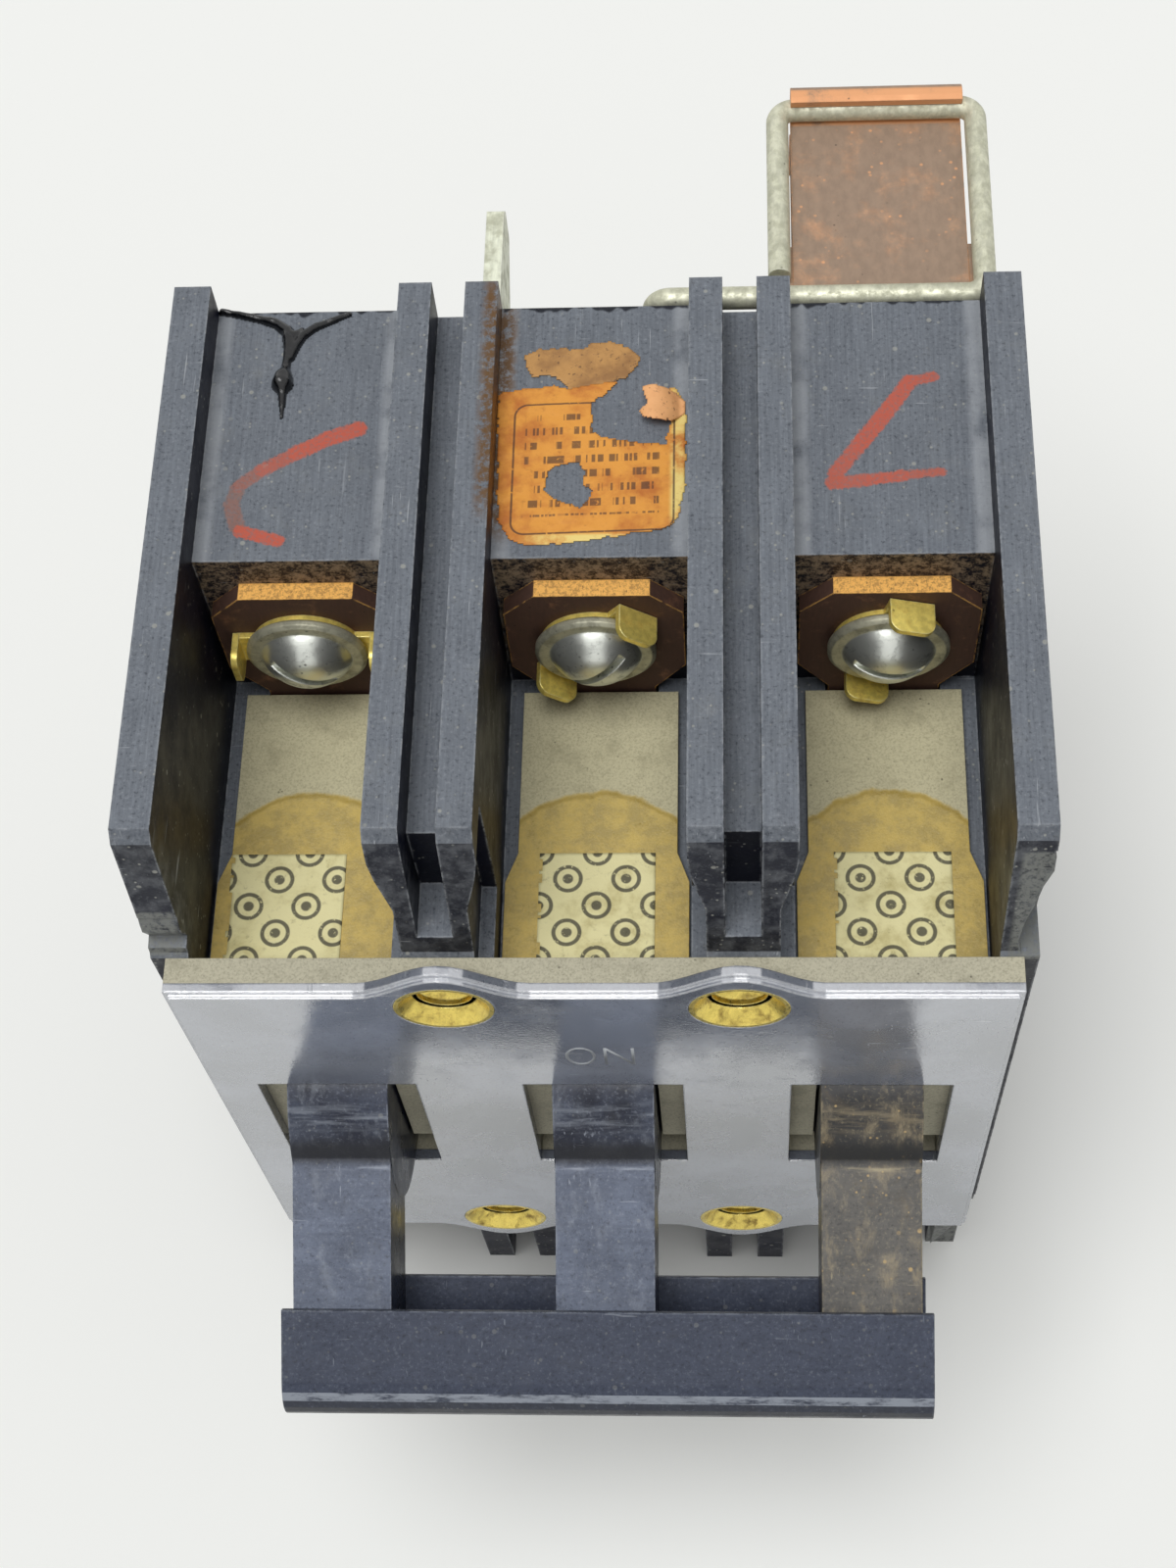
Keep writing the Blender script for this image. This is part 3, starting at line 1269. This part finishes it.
@dataclass
class Handle:
    """Toggles, tie bar and shaft."""

    dark: ToggleMoulding = ToggleMoulding(
        "toggle_dark", srgb(18, 24, 44), srgb(104, 113, 132), srgb(160, 166, 178), hazed=0.9, dusty=0.2,
        gloss=0.24, sheen=0.4, flow=6.0, draw=(0.14, 1.0, 1.0), patchy=0.3)
    worn: ToggleMoulding = ToggleMoulding(
        "toggle_worn", srgb(40, 40, 42), srgb(104, 101, 96), srgb(176, 164, 134), hazed=0.9,
        dust=srgb(186, 158, 108), dusty=0.7, gloss=0.3, sheen=0.4, flow=3.0, draw=(0.14, 1.0, 1.0),
        rubbed=srgb(158, 144, 116), patchy=0.6)
    bar: TieEnamel = TieEnamel(
        "tie_enamel", srgb(26, 30, 42), srgb(66, 72, 88), srgb(132, 138, 148), hazed=0.95, dusty=0.14,
        gloss=0.3, sheen=0.25, flow=2.2, draw=(0.5, 1.0, 1.0))

    def build(self) -> None:
        """Dresses the handle."""
        dress(["toggle_left", "toggle_middle"], self.dark.build())
        dress(["toggle_right"], self.worn.build())
        dress(["handle_tie"], self.bar.build())
        steel = Metal("shaft_steel", Tone.STEEL.value, Tone.STEEL_DARK.value, srgb(220, 220, 218), rough=0.3)
        dress(["handle_shaft", "drive_pins"], steel.build())


@dataclass
class Jaws:
    """Plug-on jaws with their spring wires."""

    fingers: Metal = Metal("jaw_copper", srgb(200, 156, 122), srgb(158, 138, 120), srgb(236, 172, 122),
                           tarnished=0.7, rough=0.42, metallic=0.5, blotch=6.0, draw=(0.7, 0.35, 1.0),
                           tip=(50.4, 52.7), flecks=0.6)
    wire: Metal = Metal("spring_zinc", srgb(216, 216, 194), srgb(192, 192, 168), srgb(236, 238, 222),
                        tarnished=0.4, rough=0.4, metallic=0.6, blotch=1.2, draw=(1.0, 0.4, 1.0))
    strap: Metal = Metal("strap_copper", Tone.COPPER.value, Tone.COPPER_BROWN.value, Tone.COPPER_CUT.value,
                         tarnished=0.5, rough=0.35)

    def build(self) -> None:
        """Dresses the jaws."""
        dress([f"jaw_{side}_{p}" for side in ("upper", "lower") for p in POLES], self.fingers.build())
        dress([f"jaw_spring_{p}" for p in POLES], self.wire.build())
        dress([f"line_strap_{p}" for p in POLES], self.strap.build())


@dataclass
class Works:
    """What is closed in behind the cover."""

    steel: Metal = Metal("works_steel", Tone.STEEL.value, Tone.STEEL_DARK.value, srgb(214, 214, 210),
                         rough=0.34)
    silver: Metal = Metal("contact_silver", srgb(222, 222, 214), srgb(150, 148, 138), srgb(240, 240, 234))
    copper: Metal = Metal("arm_copper", Tone.COPPER.value, Tone.COPPER_BROWN.value, Tone.COPPER_CUT.value)
    fibre: Fibre = Fibre("red_fibre", srgb(140, 64, 46), srgb(96, 40, 30))
    black: Moulding = Moulding("carrier_moulding", srgb(40, 41, 44), srgb(84, 86, 90), srgb(120, 122, 124),
                               hazed=0.5, dusty=0.2)

    def build(self) -> None:
        """Dresses the mechanism."""
        dress(["drive_forks", "arc_plates", "crossbar_springs", "magnet_yokes", "armatures", "bimetals"],
              self.steel.build())
        dress(["moving_contacts", "fixed_contacts"], self.silver.build())
        dress(["contact_braids"] + [f"contact_arm_{p}" for p in POLES], self.copper.build())
        dress(["bearing_inserts", "arc_liners", "trip_bar"], self.fibre.build())
        dress(["crossbar"], self.black.build())


@dataclass
class PhotoCamera:
    """Camera at the photograph's own viewpoint, in the row frame.

    Attributes:
        place: its position in millimetres.
        down: how far it looks down, in degrees.
        yaw: how far it is turned to the left, in degrees.
        roll: how far it is rolled, in degrees.
        lens: its focal length on a sensor 36 mm long.
    """

    place: Point = (17.715, -174.246, 399.105)
    down: float = 62.889
    yaw: float = 7.793
    roll: float = -7.296
    lens: float = 56.41
    sensor: float = 36.0

    def build(self) -> None:
        """Makes the camera and looks through it."""
        down, yaw, roll = (math.radians(a) for a in (self.down, self.yaw, self.roll))
        ahead = Vector((-math.sin(yaw) * math.cos(down), math.cos(yaw) * math.cos(down), -math.sin(down)))
        level = Vector((math.cos(yaw), math.sin(yaw), 0.0))
        upright = level.cross(ahead)
        right = math.cos(roll) * level + math.sin(roll) * upright
        up = math.cos(roll) * upright - math.sin(roll) * level
        turn = Matrix((right, up, -ahead)).transposed().to_4x4()
        data = bpy.data.cameras.new("camera")
        data.lens = self.lens
        data.sensor_width = self.sensor
        data.sensor_fit = "AUTO"
        data.clip_start = 0.01
        camera = bpy.data.objects.new("camera", data)
        camera.matrix_world = Matrix.Translation(Vector(self.place) * MM) @ turn
        bpy.context.scene.collection.objects.link(camera)
        bpy.context.scene.camera = camera


@dataclass
class Studio:
    """Pale floor, even sky and one soft sun overhead.

    Attributes:
        floor_half: half the floor's side in metres.
        fill: strength of the sky's light on matt surfaces.
        mirrored: strength of the sky as it shows in shiny surfaces.
        backdrop: strength of the sky as the camera sees it.
        sun: strength of the soft sun.
        sun_spread: its apparent size in degrees.
        sun_from: direction that it comes from.
        paper: colour of the floor.
    """

    floor_half: float = 3.0
    fill: float = 0.36
    mirrored: float = 0.92
    backdrop: float = 0.89
    sun: float = 2.0
    sun_spread: float = 36.0
    sun_from: Point = (-0.12, -0.2, 1.0)
    paper: Tint = srgb(244, 245, 242)

    def build(self) -> None:
        """Makes the sky, the floor and the sun."""
        scene = bpy.context.scene
        scene.view_settings.view_transform = "Standard"
        self.build_sky(scene)
        self.build_floor(scene)
        light = bpy.data.lights.new("soft_sun", "SUN")
        light.energy = self.sun
        light.angle = math.radians(self.sun_spread)
        holder = bpy.data.objects.new("soft_sun", light)
        holder.rotation_euler = Vector(self.sun_from).to_track_quat("Z", "Y").to_euler()
        scene.collection.objects.link(holder)

    def build_sky(self, scene: bpy.types.Scene) -> None:
        """Makes the even sky, with its own strengths for the camera and for shiny surfaces."""
        world = bpy.data.worlds.new("even_sky")
        scene.world = world
        world.use_nodes = True
        tree = Tree(world.node_tree)
        path = tree.node("ShaderNodeLightPath")
        strength: float | bpy.types.NodeSocket = self.fill
        for ray, value in (("Is Glossy Ray", self.mirrored), ("Is Transmission Ray", self.mirrored),
                           ("Is Camera Ray", self.backdrop)):
            chosen = tree.node("ShaderNodeMix", None, {0: path.outputs[ray], 2: strength, 3: value})
            strength = chosen.outputs[0]
        sky = tree.node("ShaderNodeBackground", None, {"Color": (1.0, 1.0, 1.0), "Strength": strength})
        tree.node("ShaderNodeOutputWorld", None, {0: sky.outputs[0]})

    def build_floor(self, scene: bpy.types.Scene) -> None:
        """Makes the pale floor."""
        side = self.floor_half
        corners = [(-side, -side, 0), (side, -side, 0), (side, side, 0), (-side, side, 0)]
        mesh = bpy.data.meshes.new("floor")
        mesh.from_pydata(corners, [], [(0, 1, 2, 3)])
        floor = bpy.data.objects.new("floor", mesh)
        scene.collection.objects.link(floor)
        graph = Graph("floor_paper")
        graph.set(Base_Color=self.paper, Roughness=0.9, Specular_IOR_Level=0.1)
        mesh.materials.append(graph.material)


def main() -> None:
    """Builds every sub-assembly and the studio."""
    logging.basicConfig(level=logging.INFO, format="%(name)s %(message)s")
    for part in (PhotoCamera(), Studio(), Case(), BlockMarks(), Terminals(), Handle(), Jaws(), Works()):
        log.info("building %s", type(part).__name__)
        part.build()


if __name__ == "__main__":
    main()
